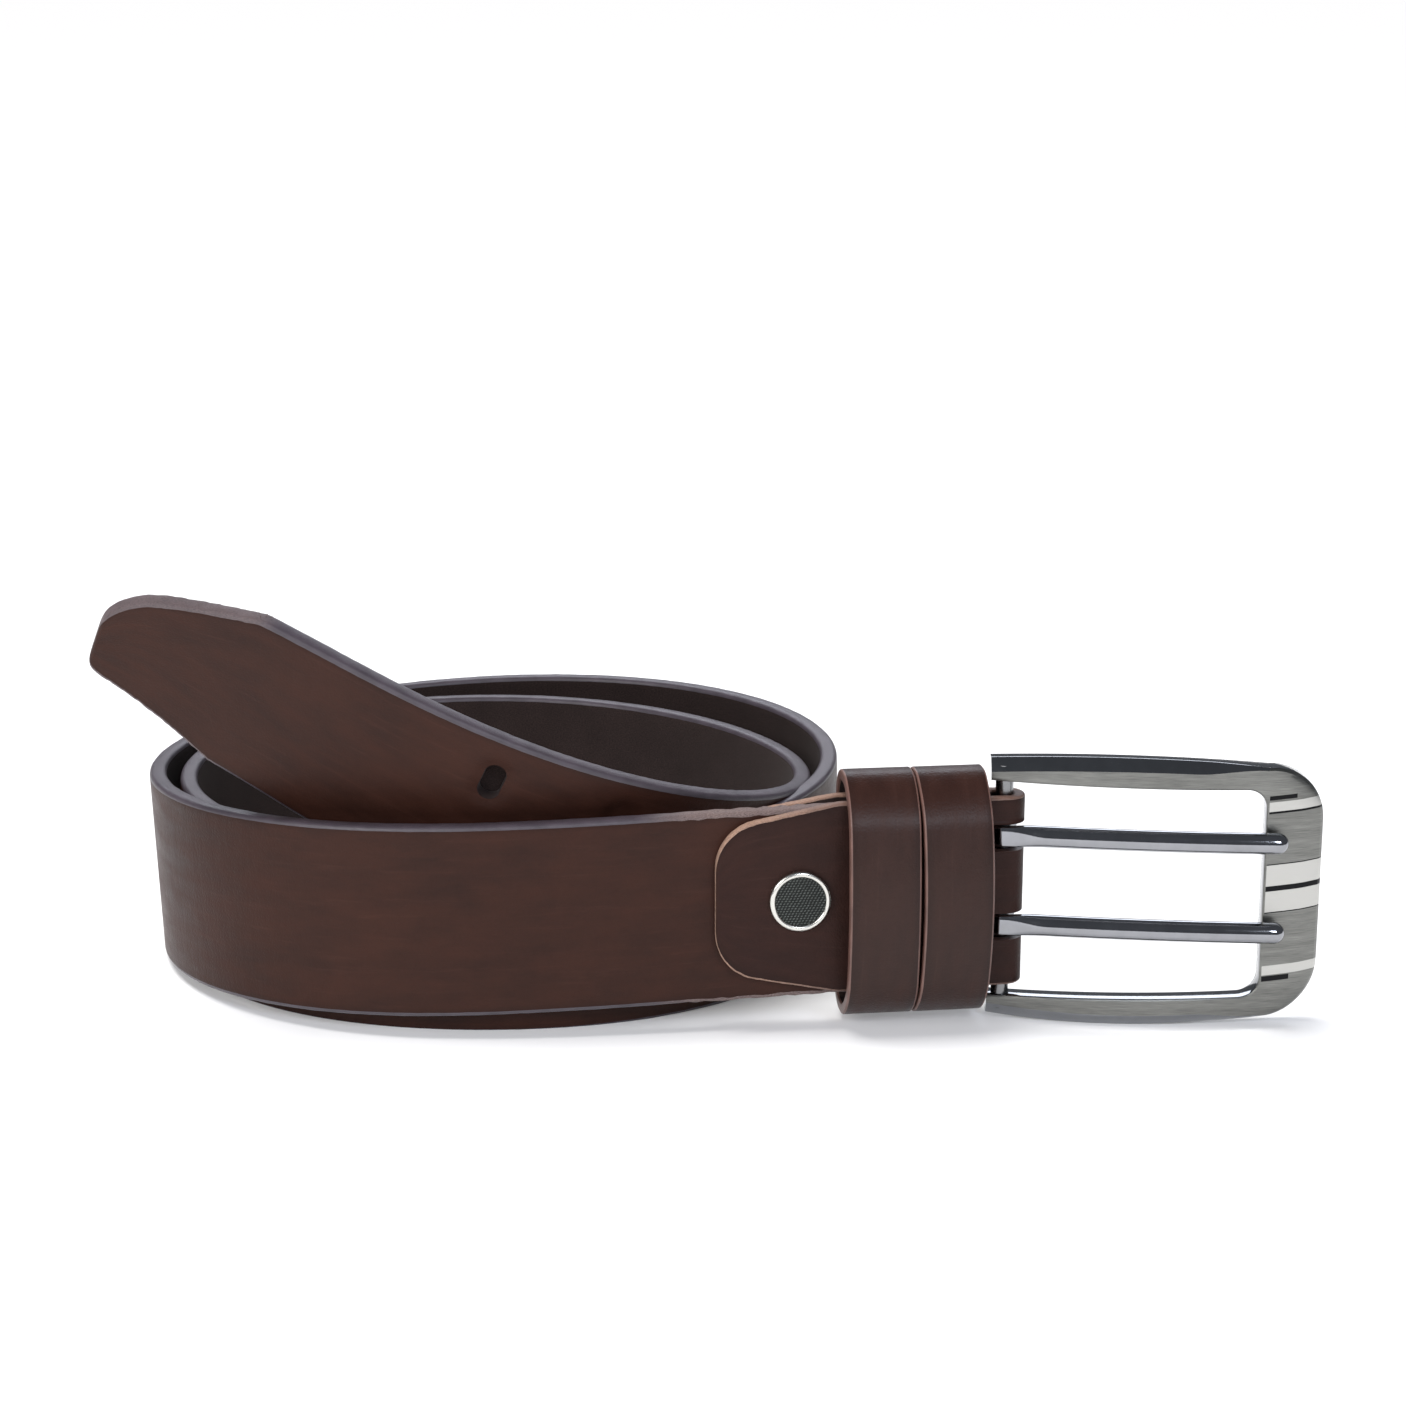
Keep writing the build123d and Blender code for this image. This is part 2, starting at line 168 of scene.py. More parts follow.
def solid(name, rings, materials, zones=None, flat=None, closed=False, marks=None, crisp=40):
    """A closed mesh from rings of points, each ring joined to the next.

    zones: the material index of each cell round the ring. flat: (distances along, distances
    round) for the UV map, in millimetres. marks: {attribute: a value for each ring and point}.
    """
    count = len(rings[0])
    points = [bar_foot + p * MM for ring in rings for p in ring]
    faces = []
    cells = []
    spans = len(rings) if closed else len(rings) - 1
    for i in range(spans):
        below, above = i * count, (i + 1) % len(rings) * count
        for j in range(count):
            k = (j + 1) % count
            faces.append((below + j, below + k, above + k, above + j))
            cells.append((i, j))
    caps = [] if closed else [tuple(reversed(range(count))), tuple(range(spans * count, (spans + 1) * count))]
    mesh = bpy.data.meshes.new(name)
    mesh.from_pydata(points, [], faces + caps)
    for material in materials:
        mesh.materials.append(material)
    if zones:
        for polygon, (i, j) in zip(mesh.polygons, cells):
            polygon.material_index = zones[j]
        for polygon in mesh.polygons[len(cells):]:
            polygon.material_index = EDGE if len(materials) > 1 else 0
    if flat:
        layer = mesh.uv_layers.new(name="flat")
        lengths, rounds = flat
        data = []
        for i, j in cells:
            for a, b in ((i, j), (i, j + 1), (i + 1, j + 1), (i + 1, j)):
                data += [lengths[a] / 10, rounds[b] / 10]
        for cap in caps:
            for vertex in cap:
                data += [points[vertex].x * 100, points[vertex].z * 100]
        layer.data.foreach_set("uv", data)
    for key, values in (marks or {}).items():
        attribute = mesh.attributes.new(key, "FLOAT", "POINT")
        attribute.data.foreach_set("value", values)
    work = bmesh.new()
    work.from_mesh(mesh)
    bmesh.ops.recalc_face_normals(work, faces=work.faces)
    work.to_mesh(mesh)
    work.free()
    mesh.shade_smooth()
    mesh.set_sharp_from_angle(angle=radians(crisp))
    made = bpy.data.objects.new(name, mesh)
    bpy.context.scene.collection.objects.link(made)
    return made


ARC = 3  # cells round each of a band's rounded edges
BAND_CRISP = 55  # degrees between faces that make a sharp edge


def section(half, thick, radius, cells):
    """Points round a band's section as (in, up), from the outer face's low corner."""
    radius = min(radius, thick * 0.49)
    flat, deep = half - radius, thick / 2 - radius
    ring = [(-thick / 2, -flat + 2 * flat * k / cells) for k in range(cells)]
    for centre, start in ((-deep, 180), (deep, 90)):
        for k in range(ARC + 1):
            a = radians(start - 90 * k / ARC)
            ring.append((centre + radius * cos(a), flat + radius * sin(a)))
    ring += [(thick / 2, flat - 2 * flat * k / cells) for k in range(1, cells)]
    for centre, start in ((deep, 0), (-deep, -90)):
        for k in range(ARC + 1):
            a = radians(start - 90 * k / ARC)
            ring.append((centre + radius * cos(a), -flat + radius * sin(a)))
    return ring[:-1]


def section_zones(cells):
    """The material of each cell round a band's section."""
    side = [EDGE] * (2 * ARC + 1)
    return [OUTER] * cells + side + [INNER] * cells + side


def band(name, stations, materials, radius, cells, closed=False, raw=None, dent=None, rough=0.0):
    """A leather band. Each station is (distance, point, inward, up, half width, thickness)."""
    rings, raws, rims = [], [], []
    for distance, point, inward, up, half, thick in stations:
        ring = []
        for side, edge in section(half, thick, radius, cells):
            rim = smooth(abs(edge), half - 2.2, half - 0.3)
            bare = raw(distance) if raw else 0.0
            if dent and side < 0:
                side += dent(distance, edge)
            at = point + inward * side + up * edge
            if rough and rim > 0.6:
                shake = wobble(at, 0.9, 3.1) * (0.25 + bare) + wobble(at, 2.7, 7.7) * bare * 0.6
                at = at + up * (rough * shake * (1 if edge > 0 else -1) * rim)
            at.z = max(at.z, 0.0)
            ring.append(at)
            rims.append(rim)
            raws.append(bare)
        rings.append(ring)
    widest = max(stations, key=lambda station: station[4])
    ring = section(widest[4], widest[5], radius, cells)
    rounds = [0.0]
    for (a, b), (c, d) in zip(ring, ring[1:] + ring[:1]):
        rounds.append(rounds[-1] + hypot(c - a, d - b))
    lengths = [station[0] for station in stations]
    if closed:
        loop = (stations[0][1] - stations[-1][1]).length
        lengths.append(lengths[-1] + loop)
    marks = {"raw": raws, "rim": rims}
    return solid(name, rings, materials, section_zones(cells), (lengths, rounds), closed, marks, BAND_CRISP)


def walk_strap():
    """The strap's middle line from its square end to its tip, as rows of (point, inward, up)."""
    droop = radians(STRAP_DROOP)
    along = Vector((-cos(droop), 0, -sin(droop)))
    inward = Vector((0, 1, 0))
    up = Vector((-sin(droop), 0, cos(droop)))
    point = Vector((-STRAP_START, 0, BAR_Z - STRAP_SETTLE))
    rows = [(point, inward, up, along)]
    for i in range(round(STRAP_LENGTH / STEP)):
        middle = (i + 0.5) * STEP
        bend = radians(between(BENDS, middle)) * STEP / 100
        twist = radians(between(TWISTS, middle)) * STEP / 100
        point = point + (along + inward * (bend / 2)) * STEP
        along, inward = along * cos(bend) + inward * sin(bend), inward * cos(bend) - along * sin(bend)
        inward, up = inward * cos(twist) + up * sin(twist), up * cos(twist) - inward * sin(twist)
        rows.append((point, inward, up, along))
    return rows


line = walk_strap()


def row_at(s):
    """The strap's row at a distance from its square end."""
    i = min(int(s / STEP), len(line) - 2)
    t = s / STEP - i
    return [a.lerp(b, t) for a, b in zip(line[i], line[i + 1])]


def strap_half(s):
    """Half the strap's width at a distance from its square end."""
    return (TIP_W + (STRAP_W - TIP_W) * min(1.0, (STRAP_LENGTH - s) / TIP_LENGTH)) / 2


def corner_loss(distance, radius, most):
    """How much an edge has drawn in at a distance from the tip's rounded corner."""
    if distance >= radius:
        return 0.0
    return most * (1 - sqrt(max(1 - (1 - distance / radius) ** 2, 0.0)))


def end_inset(distance, radius):
    """How much a rounded end has drawn in at a distance from it."""
    return radius - sqrt(radius**2 - (radius - distance) ** 2) if distance < radius else 0.0


hole_places = [
    round((STRAP_LENGTH - FIRST_HOLE - i * HOLE_PITCH) / HOLE_STEP) * HOLE_STEP for i in range(HOLE_COUNT)
]


def hole_dent(s, edge):
    """How far the outer face sinks at a place on the strap, beside the pressed slots."""
    sunk = 0.0
    for place in hole_places:
        if abs(s - place) < HOLE_L:
            for row in (-1, 1):
                past = max(abs(edge - row * HOLE_ROWS / 2) - (HOLE_L - HOLE_W) / 2, 0)
                off = max(hypot(s - place, past) - HOLE_W / 2, 0)
                sunk += DENT_DEPTH * DENT_BASE ** (-((off / DENT_REACH) ** 2))
    return sunk


def slot_ring(place, row, side, grow):
    """Points round a slot at a depth through the strap, larger by grow."""
    point, inward, up, along = row_at(place)
    reach = HOLE_W / 2 + grow
    ring = []
    for k in range(SLOT_POINTS):
        a = 2 * pi * k / SLOT_POINTS
        lift = (HOLE_L - HOLE_W) / 2 * (1 if sin(a) > 0 else -1)
        height = row * HOLE_ROWS / 2 + lift + reach * sin(a)
        ring.append(point + inward * side + along * (reach * cos(a)) + up * height)
    return ring


def cut(made, cutters, solver="EXACT"):
    """The object with the cutters taken out of it."""
    for cutter in cutters:
        change = made.modifiers.new("cut", "BOOLEAN")
        change.operation = "DIFFERENCE"
        change.solver = solver
        change.object = cutter
    bpy.context.view_layer.update()
    mesh = bpy.data.meshes.new_from_object(made.evaluated_get(bpy.context.evaluated_depsgraph_get()))
    made.modifiers.clear()
    made.data = mesh
    for cutter in cutters:
        bpy.data.objects.remove(cutter)
    return made


# ---------------------------------------------------------------- materials


def node(tree, kind, inputs=None, **settings):
    """A node with its settings, and each input linked to a socket or set to a value."""
    made = tree.nodes.new(kind)
    for key, value in settings.items():
        setattr(made, key, value)
    for key, value in (inputs or {}).items():
        if isinstance(value, bpy.types.NodeSocket):
            tree.links.new(value, made.inputs[key])
        else:
            made.inputs[key].default_value = value
    return made


def ramp(tree, factor, stops, kind="LINEAR"):
    """The colour of a ramp at a factor. stops: (position, colour or grey)."""
    made = node(tree, "ShaderNodeValToRGB", {"Fac": factor})
    made.color_ramp.interpolation = kind
    while len(made.color_ramp.elements) < len(stops):
        made.color_ramp.elements.new(1.0)
    for element, (position, colour) in zip(made.color_ramp.elements, stops):
        element.position = position
        grey = not isinstance(colour, tuple)
        element.color = (colour, colour, colour, 1) if grey else (*colour, 1)
    return made.outputs["Color"]


def mix(tree, factor, first, second, blend="MIX"):
    """Two colours mixed."""
    made = node(tree, "ShaderNodeMix", data_type="RGBA", blend_type=blend)
    for socket, value in ((0, factor), (6, first), (7, second)):
        if isinstance(value, bpy.types.NodeSocket):
            tree.links.new(value, made.inputs[socket])
        else:
            made.inputs[socket].default_value = (*value, 1) if isinstance(value, tuple) else value
    return made.outputs[2]


def math(tree, operation, first, second=0.0):
    """The result of a math node."""
    return node(tree, "ShaderNodeMath", {0: first, 1: second}, operation=operation).outputs[0]


def span(tree, value, low, high, to_low, to_high):
    """A value moved from one range to another."""
    inputs = {"Value": value, "From Min": low, "From Max": high, "To Min": to_low, "To Max": to_high}
    return node(tree, "ShaderNodeMapRange", inputs).outputs["Result"]


def stretched(tree, coordinates, scale):
    """Coordinates scaled along each axis."""
    return node(tree, "ShaderNodeMapping", {"Vector": coordinates, "Scale": scale}).outputs["Vector"]


def noise_at(tree, coordinates, scale, detail=4.0, roughness=0.55):
    """Noise from 0 to 1."""
    inputs = {"Vector": coordinates, "Scale": scale, "Detail": detail, "Roughness": roughness}
    return node(tree, "ShaderNodeTexNoise", inputs).outputs["Fac"]


def bump(tree, height, distance, strength, normal=None):
    """A bump's normal. distance is in millimetres."""
    inputs = {"Height": height, "Distance": distance * MM, "Strength": strength}
    if normal:
        inputs["Normal"] = normal
    return node(tree, "ShaderNodeBump", inputs).outputs["Normal"]


def finish_shader(bsdf, **constants):
    """Constant values on the shader's own sockets."""
    for key, value in constants.items():
        bsdf.inputs[key.replace("_", " ").title().replace("Ior", "IOR")].default_value = value


def blank(name):
    """A new material, its node tree and its shader."""
    material = bpy.data.materials.new(name)
    material.use_nodes = True
    return material, material.node_tree, material.node_tree.nodes["Principled BSDF"]


def grain_leather(name, deep, warm, rough=0.44, coat=0.12, streaks=0.35, gloss=0.12):
    """Smooth full-grain leather: mottled dye, pores, faint scuffs and burnished rims."""
    material, tree, bsdf = blank(name)
    place = node(tree, "ShaderNodeUVMap", uv_map="flat").outputs["UV"]
    rim = node(tree, "ShaderNodeAttribute", attribute_name="rim").outputs["Fac"]
    cloud = noise_at(tree, place, 0.45, 6, 0.6)
    patch = noise_at(tree, stretched(tree, place, (0.5, 1.6, 1)), 1.7, 5)
    fine = noise_at(tree, place, 38, 5, 0.65)
    scuff = noise_at(tree, stretched(tree, place, (0.35, 5, 1)), 1.3, 5, 0.7)
    cells = node(tree, "ShaderNodeTexVoronoi", {"Vector": place, "Scale": 21.0, "Randomness": 1.0})
    pores = span(tree, cells.outputs["Distance"], 0.0, 0.6, 0.0, 1.0)
    colour = mix(tree, ramp(tree, cloud, [(0.3, 0.0), (0.7, 1.0)]), deep, warm)
    colour = mix(tree, span(tree, patch, 0.35, 0.75, 0.0, 0.5), colour, tuple(c * 1.35 for c in warm))
    colour = mix(tree, 0.55, colour, ramp(tree, pores, [(0.0, 0.55), (0.35, 1.0)]), "MULTIPLY")
    lighter = tuple(c * 1.7 + 0.006 for c in warm)
    colour = mix(tree, span(tree, scuff, 0.56, 0.78, 0.0, streaks), colour, lighter)
    colour = mix(tree, math(tree, "MULTIPLY", rim, 0.45), colour, tuple(c * 0.55 for c in deep))
    tree.links.new(colour, bsdf.inputs["Base Color"])
    shine = span(tree, patch, 0.3, 0.75, rough - 0.07, rough + 0.08)
    shine = math(tree, "ADD", shine, span(tree, fine, 0.3, 0.7, -0.05, 0.05))
    tree.links.new(shine, bsdf.inputs["Roughness"])
    creases = bump(tree, noise_at(tree, stretched(tree, place, (1.6, 0.6, 1)), 2.4, 5), 0.5, 0.22)
    height = math(tree, "ADD", math(tree, "MULTIPLY", pores, 0.6), math(tree, "MULTIPLY", fine, 0.6))
    tree.links.new(bump(tree, height, 0.11, 0.5, creases), bsdf.inputs["Normal"])
    finish_shader(bsdf, specular_ior_level=gloss, coat_weight=coat, coat_roughness=0.34)
    return material


def flesh_leather(name, deep, pale):
    """The rough side of leather: short matted fibres."""
    material, tree, bsdf = blank(name)
    place = node(tree, "ShaderNodeUVMap", uv_map="flat").outputs["UV"]
    mat = noise_at(tree, stretched(tree, place, (1, 1.7, 1)), 26, 8, 0.72)
    cloud = noise_at(tree, place, 1.1, 5)
    colour = mix(tree, ramp(tree, mat, [(0.35, 0.0), (0.68, 1.0)]), deep, pale)
    colour = mix(tree, 0.5, colour, ramp(tree, cloud, [(0.3, 0.6), (0.7, 1.0)]), "MULTIPLY")
    tree.links.new(colour, bsdf.inputs["Base Color"])
    tree.links.new(span(tree, mat, 0.3, 0.7, 0.78, 0.95), bsdf.inputs["Roughness"])
    tree.links.new(bump(tree, mat, 0.35, 0.6), bsdf.inputs["Normal"])
    finish_shader(bsdf, specular_ior_level=0.15, sheen_weight=0.04, sheen_roughness=0.5)
    return material


def leather_edge(name, paint, bare):
    """A cut edge: painted along the strap, bare fibres where it is marked raw."""
    material, tree, bsdf = blank(name)
    place = node(tree, "ShaderNodeUVMap", uv_map="flat").outputs["UV"]
    raw = node(tree, "ShaderNodeAttribute", attribute_name="raw").outputs["Fac"]
    fibres = noise_at(tree, stretched(tree, place, (2.2, 9, 1)), 9, 8, 0.75)
    drift = noise_at(tree, place, 2.2, 5)
    painted = mix(tree, ramp(tree, drift, [(0.3, 0.0), (0.7, 1.0)]), paint, tuple(c * 1.6 for c in paint))
    shaded, lit = tuple(c * 0.22 for c in bare), tuple(c * 1.25 for c in bare)
    open_fibres = mix(tree, ramp(tree, fibres, [(0.36, 0.0), (0.64, 1.0)]), shaded, lit)
    amount = math(tree, "MULTIPLY", raw, span(tree, drift, 0.25, 0.5, 0.72, 1.0))
    tree.links.new(mix(tree, amount, painted, open_fibres), bsdf.inputs["Base Color"])
    tree.links.new(span(tree, raw, 0.0, 1.0, 0.42, 0.88), bsdf.inputs["Roughness"])
    height = math(tree, "MULTIPLY", fibres, span(tree, raw, 0.0, 1.0, 0.25, 1.0))
    tree.links.new(bump(tree, height, 0.4, 0.6), bsdf.inputs["Normal"])
    finish_shader(bsdf, specular_ior_level=0.5, coat_weight=0.1, coat_roughness=0.35)
    return material


def polished_metal(name, colour, rough, smudge=0.05):
    """Plated metal with faint smudges."""
    material, tree, bsdf = blank(name)
    place = node(tree, "ShaderNodeTexCoord").outputs["Object"]
    cloud = noise_at(tree, place, 260, 5, 0.6)
    fine = noise_at(tree, place, 2600, 3)
    tree.links.new(
        mix(tree, span(tree, cloud, 0.3, 0.7, 0.0, 0.5), colour, tuple(c * 1.3 for c in colour)),
        bsdf.inputs["Base Color"],
    )
    tree.links.new(span(tree, cloud, 0.3, 0.7, rough, rough + smudge), bsdf.inputs["Roughness"])
    tree.links.new(bump(tree, fine, 0.02, 0.08), bsdf.inputs["Normal"])
    finish_shader(bsdf, metallic=1.0, coat_weight=0.25, coat_roughness=0.06)
    return material


# Heights on the nose where its inlaid stripes start, from the bar's middle, and what starts there.
PALE, DARK, PLAIN = 0.5, 1.0, 0.0
STRIPES = [
    (-27.0, PLAIN), (-16.8, PALE), (-14.9, PLAIN), (-4.2, DARK), (-3.85, PALE), (0.35, DARK), (1.45, PALE),
    (5.5, DARK), (5.8, PLAIN), (16.0, DARK), (16.35, PALE), (18.15, PLAIN),
]
SHORT_STRIPES = [(-27.0, PLAIN), (-18.1, DARK), (-17.0, PLAIN), (18.6, DARK), (19.6, PLAIN)]
STRIPE_SLOPE = 0.07  # of the stripes, which rise towards the nose's outer side
STRIPE_FROM = WINDOW_L + 0.4
SHORT_TO = 55.8
HALF_NOSE = 27.0


def brushed_gunmetal(name):
    """Brushed gunmetal, with pale and dark stripes let into the nose."""
    material, tree, bsdf = blank(name)
    place = node(tree, "ShaderNodeUVMap", uv_map="flat").outputs["UV"]
    parts = node(tree, "ShaderNodeSeparateXYZ", {"Vector": place})
    reach = math(tree, "MULTIPLY", parts.outputs["X"], 10.0)
    height = math(tree, "MULTIPLY", parts.outputs["Y"], 10.0)
    lifted = math(tree, "MULTIPLY", math(tree, "SUBTRACT", reach, WINDOW_L), STRIPE_SLOPE)
    level = math(tree, "SUBTRACT", height, lifted)
    share = span(tree, level, -HALF_NOSE, HALF_NOSE, 0.0, 1.0)
    on_nose = math(tree, "GREATER_THAN", reach, STRIPE_FROM)
    stops = [((v + HALF_NOSE) / (2 * HALF_NOSE), kind) for v, kind in STRIPES]
    stripe = math(tree, "MULTIPLY", ramp(tree, share, stops, "CONSTANT"), on_nose)
    stops = [((v + HALF_NOSE) / (2 * HALF_NOSE), kind) for v, kind in SHORT_STRIPES]
    short = math(tree, "MULTIPLY", ramp(tree, share, stops, "CONSTANT"), on_nose)
    short = math(tree, "MULTIPLY", short, math(tree, "LESS_THAN", reach, SHORT_TO))
    long_dark = math(tree, "GREATER_THAN", stripe, 0.8)
    is_dark = math(tree, "MAXIMUM", long_dark, short)
    is_pale = math(tree, "SUBTRACT", math(tree, "GREATER_THAN", stripe, 0.3), long_dark)
    lines = noise_at(tree, stretched(tree, place, (0.7, 34, 1)), 3.4, 6, 0.62)
    broad = noise_at(tree, stretched(tree, place, (0.35, 5, 1)), 1.4, 4)
    metal = mix(tree, ramp(tree, lines, [(0.3, 0.0), (0.7, 1.0)]), (0.13, 0.132, 0.125), (0.30, 0.30, 0.28))
    metal = mix(tree, 0.6, metal, ramp(tree, broad, [(0.3, 0.5), (0.7, 1.0)]), "MULTIPLY")
    colour = mix(tree, is_pale, metal, (0.52, 0.515, 0.49))
    colour = mix(tree, is_dark, colour, (0.012, 0.012, 0.013))
    tree.links.new(colour, bsdf.inputs["Base Color"])
    rough = math(tree, "ADD", span(tree, lines, 0.3, 0.7, 0.3, 0.44), math(tree, "MULTIPLY", is_pale, 0.08))
    tree.links.new(rough, bsdf.inputs["Roughness"])
    step = math(tree, "ADD", math(tree, "MULTIPLY", lines, 0.25), math(tree, "MULTIPLY", is_dark, -0.8))
    tree.links.new(bump(tree, step, 0.06, 0.4), bsdf.inputs["Normal"])
    finish_shader(bsdf, metallic=1.0, anisotropic=0.5, coat_weight=0.06, coat_roughness=0.2)
    return material


def hatched_disc(name):
    """A dark disc, pressed with fine crossing lines."""
    material, tree, bsdf = blank(name)
    place = node(tree, "ShaderNodeTexCoord").outputs["Object"]
    inputs = {"Vector": place, "Scale": 620.0, "Distortion": 1.5, "Detail": 2.0}
    first = node(tree, "ShaderNodeTexWave", inputs, bands_direction="Z")
    inputs = {"Vector": place, "Rotation": (0, radians(62), 0)}
    turned = node(tree, "ShaderNodeMapping", inputs).outputs["Vector"]
    inputs = {"Vector": turned, "Scale": 520.0, "Distortion": 2.0, "Detail": 2.0}
    second = node(tree, "ShaderNodeTexWave", inputs, bands_direction="Z")
    cross = math(tree, "MULTIPLY", first.outputs["Fac"], second.outputs["Fac"])
    worn = noise_at(tree, place, 900, 4)
    colour = mix(tree, span(tree, cross, 0.1, 0.7, 0.0, 1.0), (0.012, 0.014, 0.013), (0.10, 0.11, 0.10))
    colour = mix(tree, 0.6, colour, ramp(tree, worn, [(0.3, 0.4), (0.65, 1.0)]), "MULTIPLY")
    tree.links.new(colour, bsdf.inputs["Base Color"])
    tree.links.new(span(tree, worn, 0.3, 0.7, 0.28, 0.45), bsdf.inputs["Roughness"])
    tree.links.new(bump(tree, cross, 0.12, 0.8), bsdf.inputs["Normal"])
    finish_shader(bsdf, metallic=0.85, coat_weight=0.15, coat_roughness=0.15)
    return material


strap_grain = grain_leather("strap_grain", (0.0225, 0.0094, 0.0069), (0.0375, 0.0135, 0.0086), 0.46, 0.05)
strap_flesh = flesh_leather("strap_flesh", (0.012, 0.0072, 0.0065), (0.046, 0.030, 0.0275))
strap_edge = leather_edge("strap_edge", (0.040, 0.032, 0.040), (0.22, 0.16, 0.15))
chape_grain = grain_leather("chape_grain", (0.0200, 0.0086, 0.0070), (0.0300, 0.0118, 0.0088), 0.5, 0.03)
chape_edge = leather_edge("chape_edge", (0.06, 0.03, 0.024), (0.42, 0.26, 0.19))
keeper_dyes = (0.021, 0.0088, 0.0068), (0.031, 0.0125, 0.0090)
keeper_grain = grain_leather("keeper_grain", *keeper_dyes, 0.42, 0.08, gloss=0.2)
keeper_edge = leather_edge("keeper_edge", (0.10, 0.052, 0.042), (0.24, 0.14, 0.11))
gunmetal = brushed_gunmetal("brushed_gunmetal")
dark_polish = polished_metal("dark_polish", (0.22, 0.225, 0.235), 0.09)
prong_metal = polished_metal("prong_polish", (0.26, 0.265, 0.28), 0.07)
bar_metal = polished_metal("bar_metal", (0.2, 0.202, 0.205), 0.22)
silver = polished_metal("silver", (0.62, 0.61, 0.57), 0.2, 0.1)
steel = polished_metal("steel", (0.34, 0.34, 0.35), 0.25, 0.1)
disc = hatched_disc("hatched_disc")
strap_skin = [strap_grain, strap_edge, strap_flesh]

# ---------------------------------------------------------------- strap
END_RINGS = [0.0, 0.08, 0.25, 0.5, 0.8]  # distances from either end
TIP_RINGS = [0.02, 0.15, 0.35, 0.65, 1.0]  # more, from the tip
END_CLEAR = 1.2
distances = set(END_RINGS) | {STRAP_LENGTH - e for e in END_RINGS + TIP_RINGS}
s = END_CLEAR
while s < STRAP_LENGTH - END_CLEAR:
    distances.add(round(s, 3))
    s += STEP if s > STRAP_LENGTH - TAIL_FINE else ROLL_CELL
stations = []
for s in sorted(distances):
    point, inward, up, along = row_at(s)
    inset = end_inset(min(s, STRAP_LENGTH - s), STRAP_END_R)
    top = strap_half(s) - corner_loss(STRAP_LENGTH - s, TIP_TOP_R, TIP_TOP_LOSS)
    low = strap_half(s) - corner_loss(STRAP_LENGTH - s, TIP_LOW_R, TIP_LOW_LOSS)
    point = point + up * ((top - low) / 2)
    stations.append((s, point, inward, up, (top + low) / 2 - inset, STRAP_T - 2 * inset))


def strap_raw(s):
    """Where the strap's cut edges are bare: beside the chape and at the tip."""
    tip = smooth(s, STRAP_LENGTH - TIP_LENGTH - 4, STRAP_LENGTH - TIP_LENGTH + 2)
    return max(1 - smooth(s, 52, 66), 0.45 * tip)


STRAP_ROUGH = 0.28
strap = band(
    "strap", stations, strap_skin, STRAP_EDGE_R, FACE_CELLS, raw=strap_raw, dent=hole_dent, rough=STRAP_ROUGH
)
# (depth through the strap from its middle, how much wider the slot is there)
WALLS = [
    (-4.0, 1.6), (-2.0, 0.75), (-1.62, 0.42), (-1.3, 0.16),
    (-0.9, 0.0), (1.4, 0.0), (1.75, 0.15), (4.0, 0.9),
]
cutters = []
for place in hole_places:
    for row in (-1, 1):
        rings = [slot_ring(place, row, side, grow) for side, grow in WALLS]
        cutters.append(solid("slot", rings, strap_skin, [INNER] * SLOT_POINTS))
# The slots do not come out open: faces stay across them, and plugs stand out of both sides.
strap = cut(strap, cutters, "FAST")
strap.data.shade_smooth()
strap.data.set_sharp_from_angle(angle=radians(50))
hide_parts("strap")
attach(strap, "root")

# ---------------------------------------------------------------- chape
tab_slope = (STRAP_W - TAB_END_W) / 2


def tab_half(d, reach):
    """Half the tab's width at a distance from its rounded end."""
    slope = tab_slope / (reach - TAB_FULL)
    lean = sqrt(1 + slope**2)
    centre = TAB_END_W / 2 + TAB_R * (slope - lean)
    if d < TAB_R * (1 - slope / lean):
        return centre + sqrt(max(TAB_R**2 - (d - TAB_R) ** 2, 0))
    return min(STRAP_W / 2, TAB_END_W / 2 + slope * d)


fold_r = (CHAPE_GAP + CHAPE_T) / 2
fold_length = pi * fold_r
chape_length = TAB_FRONT + fold_length + TAB_BACK


def chape_row(s):
    """The chape's middle line at a distance from its front end: (point, inward)."""
    if s < TAB_FRONT:
        return Vector((s - TAB_FRONT, -fold_r, BAR_Z)), Vector((0, 1, 0))
    if s < TAB_FRONT + fold_length:
        a = (s - TAB_FRONT) / fold_r
        out = Vector((sin(a), -cos(a), 0))
        return out * fold_r + Vector((0, 0, BAR_Z)), -out
    return Vector((TAB_FRONT + fold_length - s, fold_r, BAR_Z)), Vector((0, -1, 0))


FOLD_CELL, LEAF_CELL = 0.45, 1.2
FOLD_FINE = 14  # the finer cells reach this far from the fold's middle
CHAPE_END_R = 0.35
CHAPE_EDGE_R = 0.45
CHAPE_CELLS = 30
rounded = [TAB_R * (1 - cos(radians(a))) for a in range(0, 90, 5)]
distances = set(rounded) | {chape_length - r for r in rounded}
s = TAB_R
while s < chape_length - TAB_R:
    distances.add(round(s, 3))
    s += FOLD_CELL if abs(s - TAB_FRONT - fold_length / 2) < FOLD_FINE else LEAF_CELL
stations = []
for s in sorted(distances):
    point, inward = chape_row(s)
    from_end, reach = (s, TAB_FRONT) if s < chape_length / 2 else (chape_length - s, TAB_BACK)
    inset = end_inset(from_end, CHAPE_END_R)
    stations.append((s, point, inward, UP, tab_half(from_end, reach) - inset, CHAPE_T - 2 * inset))


def chape_raw(s):
    """The front leaf's end shows bare leather, and so does the back leaf's edge."""
    back = smooth(s, chape_length - 40, chape_length - 20)
    return max(1 - 0.75 * smooth(s, 6, 26), 0.9 * back)


chape_skin = [chape_grain, chape_edge, strap_flesh]
chape = band("chape", stations, chape_skin, CHAPE_EDGE_R, CHAPE_CELLS, raw=chape_raw, rough=0.1)


